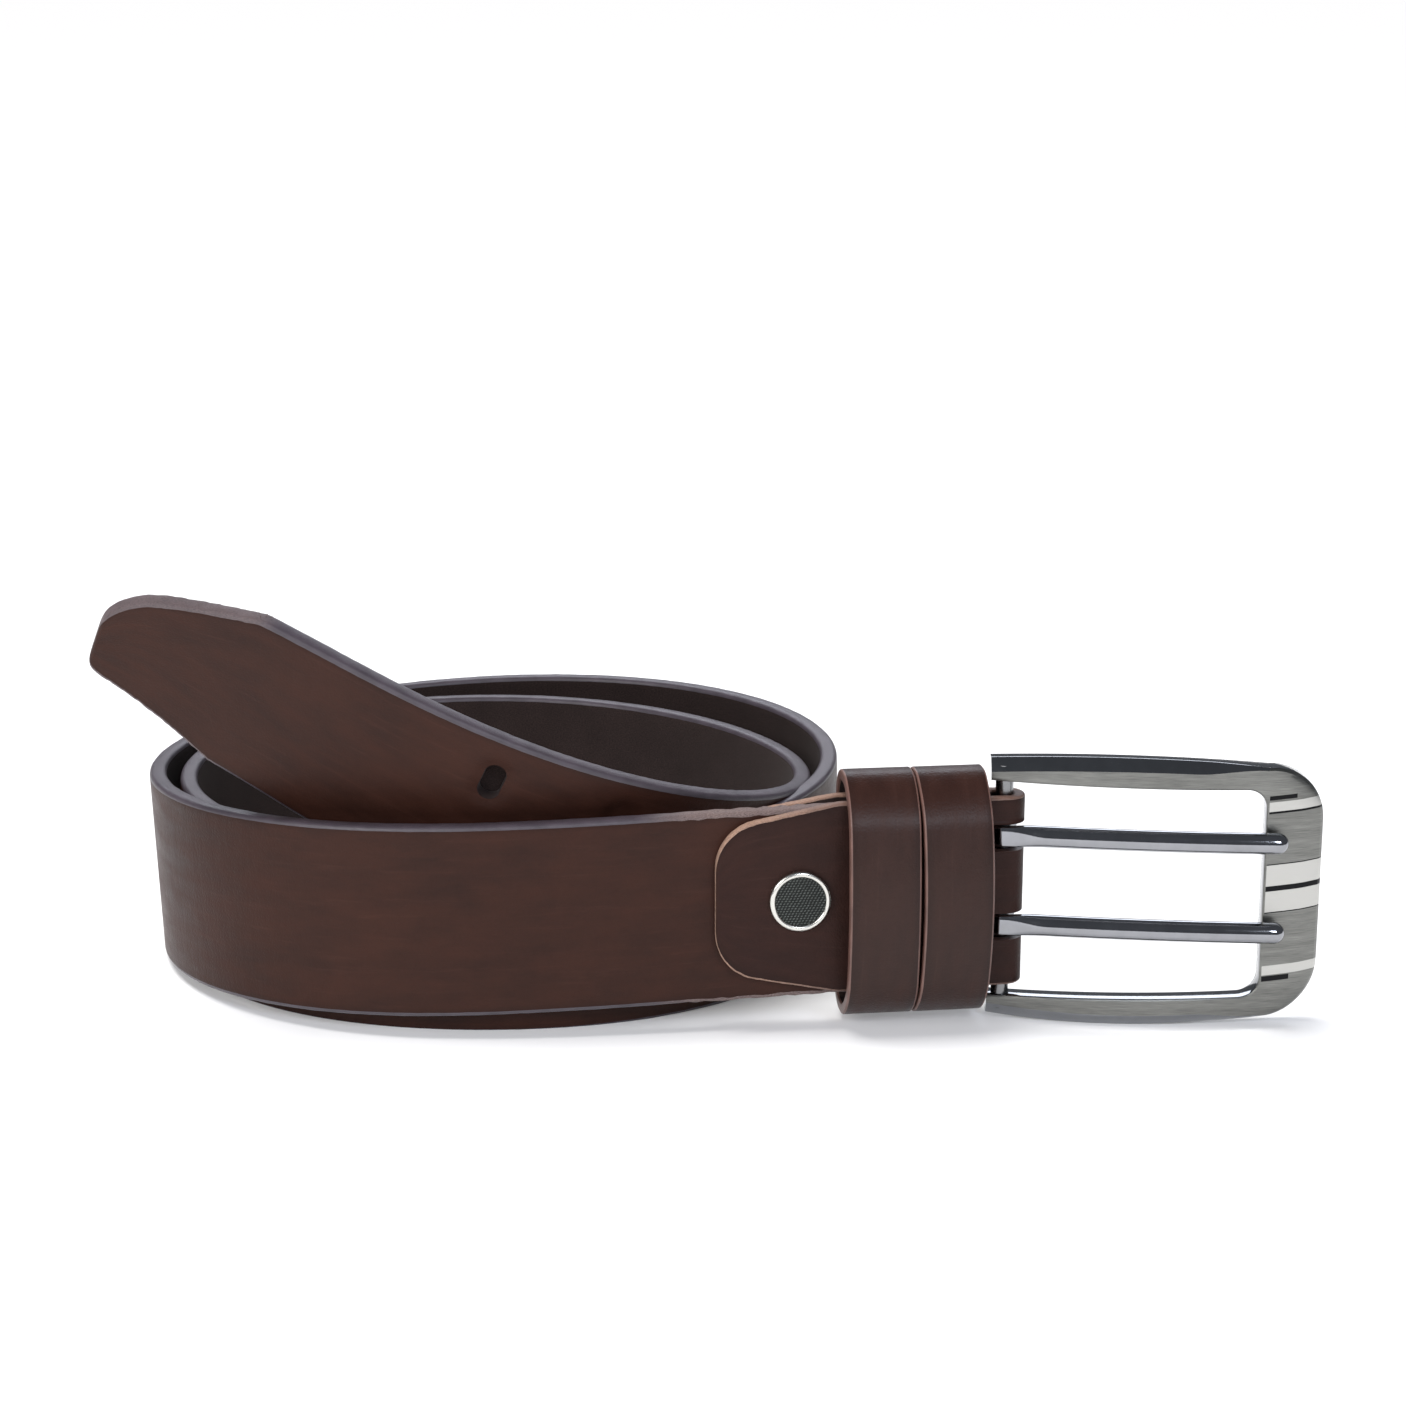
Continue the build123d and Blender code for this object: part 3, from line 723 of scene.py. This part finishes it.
def rounded_block(name, low, high, radius, materials):
    """A block with rounded upright corners in the height-length plane, used as a cutter."""
    rings = []
    for depth in (low.y, high.y):
        ring = []
        corners = ((high.x, high.z, 0), (low.x, high.z, 90), (low.x, low.z, 180), (high.x, low.z, 270))
        for x, z, start in corners:
            cx = x + (radius if x == low.x else -radius)
            cz = z + (radius if z == low.z else -radius)
            for k in range(7):
                a = radians(start + 15 * k)
                ring.append(Vector((cx + radius * cos(a), depth, cz + radius * sin(a))))
        rings.append(ring)
    return solid(name, rings, materials, [EDGE] * 28)


SLOT_R = 1.4
PAST_CHAPE = 9  # the cutters' reach past the fold and both leaves
cutters = []
for level in (PRONG_RISE - PRONG_SPREAD, PRONG_RISE + PRONG_SPREAD):
    low = Vector((-SLOT_BACK, -PAST_CHAPE, BAR_Z + level - SLOT_W / 2))
    high = Vector((PAST_CHAPE, PAST_CHAPE, BAR_Z + level + SLOT_W / 2))
    cutters.append(rounded_block("prong_slot", low, high, SLOT_R, chape_skin))
chape = cut(chape, cutters)
soften = chape.modifiers.new("rounded_slots", "BEVEL")
soften.width = 0.25 * MM
soften.segments = 2
soften.limit_method = "ANGLE"
soften.angle_limit = radians(50)
soften.use_clamp_overlap = True
chape.data.shade_smooth()
chape.data.set_sharp_from_angle(angle=radians(45))
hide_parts("chape")
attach(chape, "root")

# ---------------------------------------------------------------- keepers
keeper_low = KEEPER_Z - KEEPER_H / 2
keeper_high = KEEPER_Z + KEEPER_H / 2
KEEPER_FRONT_R = 8.5
KEEPER_BACK_R = 5.5
KEEPER_TURN = 7.5  # degrees between a corner's points
KEEPER_CELL = 1.3
KEEPER_EDGE_R = 0.38
KEEPER_CELLS = 14
SEAM_HALF = 0.2
SEAM_R = 0.05
keeper_skin = [keeper_grain, keeper_edge, strap_flesh]


def keeper_path(bulge):
    """Points round a keeper's middle line in the (y, z) plane, front wall bulged."""
    t = KEEPER_T / 2
    front, back = -(KEEPER_FRONT - t) + bulge * 0.25, KEEPER_BACK - t
    low, high = keeper_low + t, keeper_high - t
    corners = (
        (back, high, 0, KEEPER_BACK_R), (front, high, 90, KEEPER_FRONT_R),
        (front, low, 180, KEEPER_FRONT_R), (back, low, 270, KEEPER_BACK_R),
    )
    arcs = []
    for y, z, start, radius in corners:
        cy = y + (radius if y == front else -radius)
        cz = z + (radius if z == low else -radius)
        turns = [radians(start + KEEPER_TURN * k) for k in range(round(90 / KEEPER_TURN) + 1)]
        arcs.append([(cy + radius * cos(a), cz + radius * sin(a)) for a in turns])
    path = []
    for first, second in zip(arcs, arcs[1:] + arcs[:1]):
        path += first
        (y0, z0), (y1, z1) = first[-1], second[0]
        cells = max(2, round(hypot(y1 - y0, z1 - z0) / KEEPER_CELL))
        path += [(y0 + (y1 - y0) * k / cells, z0 + (z1 - z0) * k / cells) for k in range(1, cells)]
    bent = []
    for y, z in path:
        off = (z - KEEPER_Z) / (KEEPER_H / 2)
        bent.append((y + bulge * (off**2 - 0.25) * smooth(-y, -4, 9), z))
    return bent


def build_keeper(name, left, lean, tilt):
    """A leather loop with its left edge at a place along the strap."""
    path = keeper_path(KEEPER_BULGE)
    count = len(path)
    stations = []
    s = 0.0
    for i, (y, z) in enumerate(path):
        y0, z0 = path[i - 1]
        y1, z1 = path[(i + 1) % count]
        along = Vector((0, y1 - y0, z1 - z0)).normalized()
        inward = Vector((0, -along.z, along.y))
        point = Vector((left + KEEPER_W / 2, y, z))
        point.x += lean * smooth(-y, 2, 11) * sin(pi * (z - keeper_low) / KEEPER_H)
        turned = Vector((1, tilt * smooth(-y, 0, 9), 0)).normalized()
        stations.append((s, point, inward, turned, KEEPER_W / 2 + 0.12, KEEPER_T))
        s += hypot(y1 - y, z1 - z)
    made = band(name, stations, keeper_skin, KEEPER_EDGE_R, KEEPER_CELLS, closed=True)
    seam_low = Vector((left - 1, KEEPER_BACK - KEEPER_T - 1, KEEPER_Z - SEAM_HALF))
    seam_high = Vector((left + KEEPER_W + 1, KEEPER_BACK + 1, KEEPER_Z + SEAM_HALF))
    gap = rounded_block(name + "_seam", seam_low, seam_high, SEAM_R, keeper_skin)
    made = cut(made, [gap])
    made.data.shade_smooth()
    made.data.set_sharp_from_angle(angle=radians(50))
    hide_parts(name)
    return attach(made, name)


right_edge = -KEEPER_RIGHT - KEEPER_W
left_edge = right_edge - KEEPER_GAP - KEEPER_W
build_keeper("keeper_right", right_edge, 0.35, 0.07)
build_keeper("keeper_left", left_edge, -0.1, -0.02)

# ---------------------------------------------------------------- buckle frame
swing = radians(SWING)
frame_dir = Vector((cos(swing), -sin(swing), 0))
frame_rear = Vector((sin(swing), cos(swing), 0))
half_frame = FRAME_L / 2
slab_r = (half_frame**2 + FRAME_BOW**2) / (2 * FRAME_BOW)


def behind(reach, radius):
    """How far behind the bar's plane a face of the curved frame is, at a distance from the bar."""
    return slab_r - FRAME_BOW - sqrt(radius**2 - (reach - half_frame) ** 2)


def frame_point(reach, level, depth):
    """A point on the frame: distance from the bar, height from its middle, depth from the front face."""
    face = behind(reach, slab_r + FRAME_T / 2)
    return frame_dir * reach + frame_rear * (face + depth) + UP * (BAR_Z + level)


def side_level(reach):
    """Half the frame's height at a distance from the bar: its long sides are bowed."""
    rise = sqrt(FRAME_SIDE_R**2 - (reach - FRAME_SIDE_APEX) ** 2) - FRAME_SIDE_R
    return FRAME_H / 2 + rise


def window_level(reach):
    """Half the window's height at a distance from the bar."""
    return (WINDOW_H_BAR + (WINDOW_H_NOSE - WINDOW_H_BAR) * reach / WINDOW_L) / 2


corner_from = FRAME_L - FRAME_CORNER_R
window_from = WINDOW_L - WINDOW_R
window_corner = window_level(window_from) - WINDOW_R
pairs = []  # (point on the window's edge, point on the outer edge, how much facet the edge has)
ARM_CELLS, CORNER_CELLS, NOSE_CELLS = 30, 14, 36
FACET_FADE = 38  # the facet fades out from here to the corner
for k in range(ARM_CELLS):
    t = k / ARM_CELLS
    inner = -FRAME_BACK + t * (window_from + FRAME_BACK)
    outer = -FRAME_BACK + t * (corner_from + FRAME_BACK)
    facet = 1 - smooth(outer, FACET_FADE, corner_from)
    pairs.append(((inner, window_level(inner)), (outer, side_level(outer)), facet))
for k in range(CORNER_CELLS + 1):
    a = radians(90 - 90 * k / CORNER_CELLS)
    inner = (window_from + WINDOW_R * cos(a), window_corner + WINDOW_R * sin(a))
    outer = (corner_from + FRAME_CORNER_R * cos(a), side_level(corner_from) - FRAME_CORNER_R * (1 - sin(a)))
    pairs.append((inner, outer, 0.0))
for k in range(1, NOSE_CELLS // 2 + 1):
    t = 1 - k / (NOSE_CELLS / 2)
    nose_level = side_level(corner_from) - FRAME_CORNER_R
    pairs.append(((WINDOW_L, window_corner * t), (FRAME_L, nose_level * t), 0.0))
pairs += [((a, -b), (c, -d), f) for (a, b), (c, d), f in reversed(pairs[:-1])]

FACET_W = 2.5
FACET_DEEP = 1.7
LIP_W = 0.7  # where the edge has no facet
LIP_DEEP = 0.55
FACE_FROM = 0.42  # past the window's rounded edge
NOSE_CROWN = 0.9
FACE_POINTS = 7
BRUSHED, POLISHED = 0, 1
rings = []
flats = []
for (iu, iv), (ou, ov), facet in pairs:
    width = hypot(ou - iu, ov - iv)
    slope = FACET_W * facet + LIP_W * (1 - facet)
    drop = FACET_DEEP * facet + LIP_DEEP * (1 - facet)
    nose = smooth(ou, 50, FRAME_L)
    across = [(0.0, FRAME_T - 0.5), (0.0, 0.45), (0.12, 0.16), (FACE_FROM, 0.0)]
    last = width - slope
    across += [(FACE_FROM + (last - FACE_FROM) * k / FACE_POINTS, 0.0) for k in range(1, FACE_POINTS + 1)]
    across += [(last + 0.05, 0.03), (width - 0.12, drop - 0.05)]
    across += [(width - 0.02, drop + 0.12), (width, drop + 0.35)]
    across += [(width, FRAME_T - 0.5), (width - 0.15, FRAME_T - 0.15), (width - 0.5, FRAME_T)]
    across += [(0.5, FRAME_T), (0.15, FRAME_T - 0.15)]
    ring, uv = [], []
    for offset, depth in across:
        t = offset / width
        u, v = iu + (ou - iu) * t, iv + (ov - iv) * t
        crown = nose * NOSE_CROWN * smooth(t, 0.45, 1.0) ** 2 * (1 if depth < 1 else 0)
        ring.append(frame_point(u, v, min(depth + crown, FRAME_T)))
        uv.append((u, v))
    rings.append(ring)
    flats.append(uv)
zones = [POLISHED] * 2 + [BRUSHED] * (FACE_POINTS + 1)
zones += [POLISHED] * (len(rings[0]) - len(zones))
buckle = solid("buckle_frame", rings, [gunmetal, dark_polish], zones, crisp=28)
layer = buckle.data.uv_layers.new(name="flat")
count = len(rings[0])
for loop in buckle.data.loops:
    u, v = flats[loop.vertex_index // count][loop.vertex_index % count]
    layer.data[loop.index].uv = (u / 10, v / 10)
for polygon in buckle.data.polygons:
    reach = (polygon.center - bar_foot).dot(frame_dir) / MM
    faces_front = polygon.normal.dot(-frame_rear) > 0.2
    if polygon.material_index == POLISHED and reach > corner_from - 1 and faces_front:
        polygon.material_index = BRUSHED
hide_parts("buckle_frame")
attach(buckle, "buckle")

# ---------------------------------------------------------------- prongs
prong_tip = PRONG_REACH - PRONG_R
tip_back = behind(prong_tip, slab_r + FRAME_T / 2) - PRONG_R - PRONG_GAP
WALL = (PRONG_EYE_R - BAR_R) / 2 - 0.05
EYE_R = PRONG_EYE_R - WALL
prong_start = PRONG_R - PRONG_EYE_R
EYE_CELLS = 20
EYE_FROM = 40  # degrees: behind the bar
EYE_TURN = 230
ROD_CELLS = 44
ROD_POINTS = 28
ROD_ROUND_FROM = 8.5  # the flattened eye has become a round rod here
SQUARENESS = 0.45
TIP_STEPS = 8
TIP_TURN = 10.5  # degrees


def build_prong(name, level):
    """A rod bent round the bar, flattened there, with a rounded tip on the nose."""
    rows = []
    for k in range(EYE_CELLS + 1):
        a = radians(EYE_FROM + EYE_TURN * k / EYE_CELLS)  # round the bar's near side, to its front
        rows.append((EYE_R * cos(a), EYE_R * sin(a), WALL))
    for k in range(1, ROD_CELLS + 1):
        u = prong_tip * k / ROD_CELLS
        t = u / prong_tip
        arc = prong_start + (tip_back - prong_start) * t - 4 * PRONG_BOW * t * (1 - t)
        blend = smooth(u, 0, ROD_ROUND_FROM)
        rows.append((u, -EYE_R * (1 - blend) + arc * blend, WALL + (PRONG_R - WALL) * blend))
    rings = []
    count = len(rows)
    for i, (u, w, thick) in enumerate(rows):
        u0, w0, _ = rows[max(i - 1, 0)]
        u1, w1, _ = rows[min(i + 1, count - 1)]
        along = (frame_dir * (u1 - u0) + frame_rear * (w1 - w0)).normalized()
        across = Vector((along.y, -along.x, 0))
        centre = frame_dir * u + frame_rear * w + UP * (BAR_Z + level)
        square = 1 - smooth(u, 0, 9) if i > EYE_CELLS else 1.0
        power = 1 - SQUARENESS * square
        ring = []
        for k in range(ROD_POINTS):
            a = 2 * pi * k / ROD_POINTS
            ca, sa = cos(a), sin(a)
            ring.append(
                centre
                + across * (thick * abs(ca) ** power * (1 if ca > 0 else -1))
                + UP * (PRONG_R * abs(sa) ** power * (1 if sa > 0 else -1))
            )
        rings.append(ring)
    last = rings[-1]
    middle = sum(last, Vector()) / len(last)
    for k in range(1, TIP_STEPS + 1):
        a = radians(TIP_TURN * k)
        rings.append([middle + (p - middle) * cos(a) + along * (PRONG_R * sin(a)) for p in last])
    made = solid(name, rings, [prong_metal], crisp=60)
    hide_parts(name)
    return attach(made, name)


build_prong("prong_upper", PRONG_RISE + PRONG_SPREAD)
build_prong("prong_lower", PRONG_RISE - PRONG_SPREAD)

# ---------------------------------------------------------------- rivet
leaf_out = CHAPE_GAP / 2 + CHAPE_T


def lathe(name, profile, materials, origin, axis, right, segments=64):
    """A turned solid. profile: (radius, height along the axis)."""
    side = axis.cross(right)
    rings = []
    for radius, height in profile:
        ring = []
        for k in range(segments):
            a = 2 * pi * k / segments
            ring.append(origin + axis * height + right * (radius * cos(a)) + side * (radius * sin(a)))
        rings.append(ring)
    return solid(name, rings, materials, crisp=45)


CAP = [
    (0.4, 0.5), (4.88, 0.5), (4.9, 0.95), (4.97, 1.12), (5.12, 1.25), (5.35, 1.3), (5.6, 1.27), (5.82, 1.14),
    (5.96, 0.92), (6.0, 0.62), (6.0, 0.18), (5.94, 0.05), (5.8, 0.0),
]
post_end = -2 * leaf_out
shank = [(POST_R, 0.0), (POST_R, post_end + 0.2), (POST_R - 0.2, post_end)]
shank += [(POST_BORE_R + 0.1, post_end), (POST_BORE_R, post_end + 0.1)]
shank += [(POST_BORE_R, -POST_FLOOR), (0.3, -POST_FLOOR)]
cap_middle = Vector((-RIVET_X, -leaf_out, BAR_Z))
rivet = lathe("rivet_cap", CAP + shank, [silver], cap_middle, Vector((0, -1, 0)), Vector((1, 0, 0)))
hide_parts("rivet_post")
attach(rivet, "root")

# ---------------------------------------------------------------- finishes of the CAD's own pieces
for name, material in (
    ("hinge_bar", bar_metal), ("rivet_inlay", disc), ("rivet_washer", steel), ("rivet_screw", steel),
    ("keeper_left_staples", steel), ("keeper_right_staples", steel),
):
    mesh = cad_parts[name].data
    for i in range(len(mesh.materials)):
        mesh.materials[i] = material

# ---------------------------------------------------------------- loose fibres at the tip's corner
fibre_from = STRAP_LENGTH - TIP_LENGTH
# (distance past the corner, length, lean)
FIBRES = [
    (0.0, 2.6, 0.5), (0.7, 1.9, -0.6), (-0.8, 1.5, 0.9),
    (6.0, 1.0, 0.7), (12.5, 1.3, -0.5), (19.0, 0.9, 0.4),
]
FIBRE_R = 0.07
FIBRE_CELLS = 6
FIBRE_SIDES = 5
turns = [radians(360 / FIBRE_SIDES * j) for j in range(FIBRE_SIDES)]
for n, (shift, length, lean) in enumerate(FIBRES):
    point, inward, up, along = row_at(fibre_from + shift)
    root = point + up * (strap_half(fibre_from + shift) - 0.25) + inward * (0.5 * lean)
    rings = []
    for k in range(FIBRE_CELLS + 1):
        t = k / FIBRE_CELLS
        centre = root + up * (length * t) + along * (-lean * length * t * t) + inward * (lean * t * 0.6)
        r = FIBRE_R * (1 - 0.7 * t)
        rings.append([centre + along * (r * cos(a)) + inward * (r * sin(a)) for a in turns])
    lengths = [k * length / FIBRE_CELLS for k in range(FIBRE_CELLS + 1)]
    flat = (lengths, [0.1 * j for j in range(FIBRE_SIDES + 1)])
    marks = {"raw": [1.0] * (FIBRE_SIDES * (FIBRE_CELLS + 1))}
    hair = solid("tip_fibre_%d" % (n + 1), rings, [strap_edge], flat=flat, marks=marks)
    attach(hair, "root")

# ---------------------------------------------------------------- stage
floor_material, tree, bsdf = blank("white_paper")
bsdf.inputs["Base Color"].default_value = (0.8, 0.8, 0.81, 1)
bsdf.inputs["Roughness"].default_value = 0.9
bsdf.inputs["Emission Color"].default_value = (1.0, 1.0, 1.0, 1)
bsdf.inputs["Emission Strength"].default_value = 0.15
FLOOR_FRONT, FLOOR_BACK, FLOOR_SIDE = -4.0, 16.0, 6.0
profile = [(y, 0.0) for y in (FLOOR_FRONT, -1.0, 0.0, 1.0, 4.0, FLOOR_BACK)]
mesh = bpy.data.meshes.new("paper_floor")
mesh.from_pydata(
    [(x, y, z) for y, z in profile for x in (-FLOOR_SIDE, FLOOR_SIDE)], [],
    [(2 * i, 2 * i + 1, 2 * i + 3, 2 * i + 2) for i in range(len(profile) - 1)],
)
mesh.materials.append(floor_material)
mesh.shade_smooth()
floor = bpy.data.objects.new("paper_floor", mesh)
bpy.context.scene.collection.objects.link(floor)

world = bpy.data.worlds.new("studio")
world.use_nodes = True
world.node_tree.nodes["Background"].inputs["Color"].default_value = (0.85, 0.9, 1.0, 1)
world.node_tree.nodes["Background"].inputs["Strength"].default_value = 0.16
bpy.context.scene.world = world
bpy.context.scene.view_settings.view_transform = "Standard"


def soft_light(name, place, target, width, height, power, colour):
    """A rectangular softbox that looks at a target, in metres."""
    light = bpy.data.lights.new(name, "AREA")
    light.shape = "RECTANGLE"
    light.size, light.size_y = width, height
    light.energy = power
    light.color = colour
    lamp = bpy.data.objects.new(name, light)
    lamp.location = place
    lamp.rotation_euler = (Vector(target) - Vector(place)).to_track_quat("-Z", "Y").to_euler()
    bpy.context.scene.collection.objects.link(lamp)


sun = bpy.data.lights.new("high_sun", "SUN")
sun.energy = 3.3
sun.angle = radians(35)
sun.color = (1.0, 0.985, 0.96)
lamp = bpy.data.objects.new("high_sun", sun)
lamp.rotation_euler = Vector((0.25, -0.12, -1.0)).to_track_quat("-Z", "Y").to_euler()
lamp.visible_glossy = False
bpy.context.scene.collection.objects.link(lamp)
soft_light("left_front", (-1.1, -1.0, 0.75), (0, 0, 0.03), 0.9, 0.7, 15, (1.0, 0.98, 0.97))
soft_light("above_camera", (0.35, -1.3, 0.85), (0.04, 0, 0.03), 0.35, 0.35, 8, (0.85, 0.9, 1.0))
soft_light("high_back", (0.1, 1.3, 0.9), (0, 0, 0.03), 1.2, 0.5, 8, (0.88, 0.92, 1.0))

# ---------------------------------------------------------------- camera
CAMERA_SIDE = -125.7
CAMERA_FRONT = -544.7
CAMERA_HEIGHT = 208.9
CAMERA_TURN = 7.02
CAMERA_DOWN = 14.63
camera_data = bpy.data.cameras.new("camera")
camera_data.sensor_width = 36
camera_data.lens = 76.8
camera_data.clip_start = 0.01
camera = bpy.data.objects.new("camera", camera_data)
camera.location = bar_foot + Vector((CAMERA_SIDE, CAMERA_FRONT, CAMERA_HEIGHT)) * MM
camera.rotation_euler = (radians(90 - CAMERA_DOWN), 0, radians(-CAMERA_TURN))
bpy.context.scene.collection.objects.link(camera)
bpy.context.scene.camera = camera
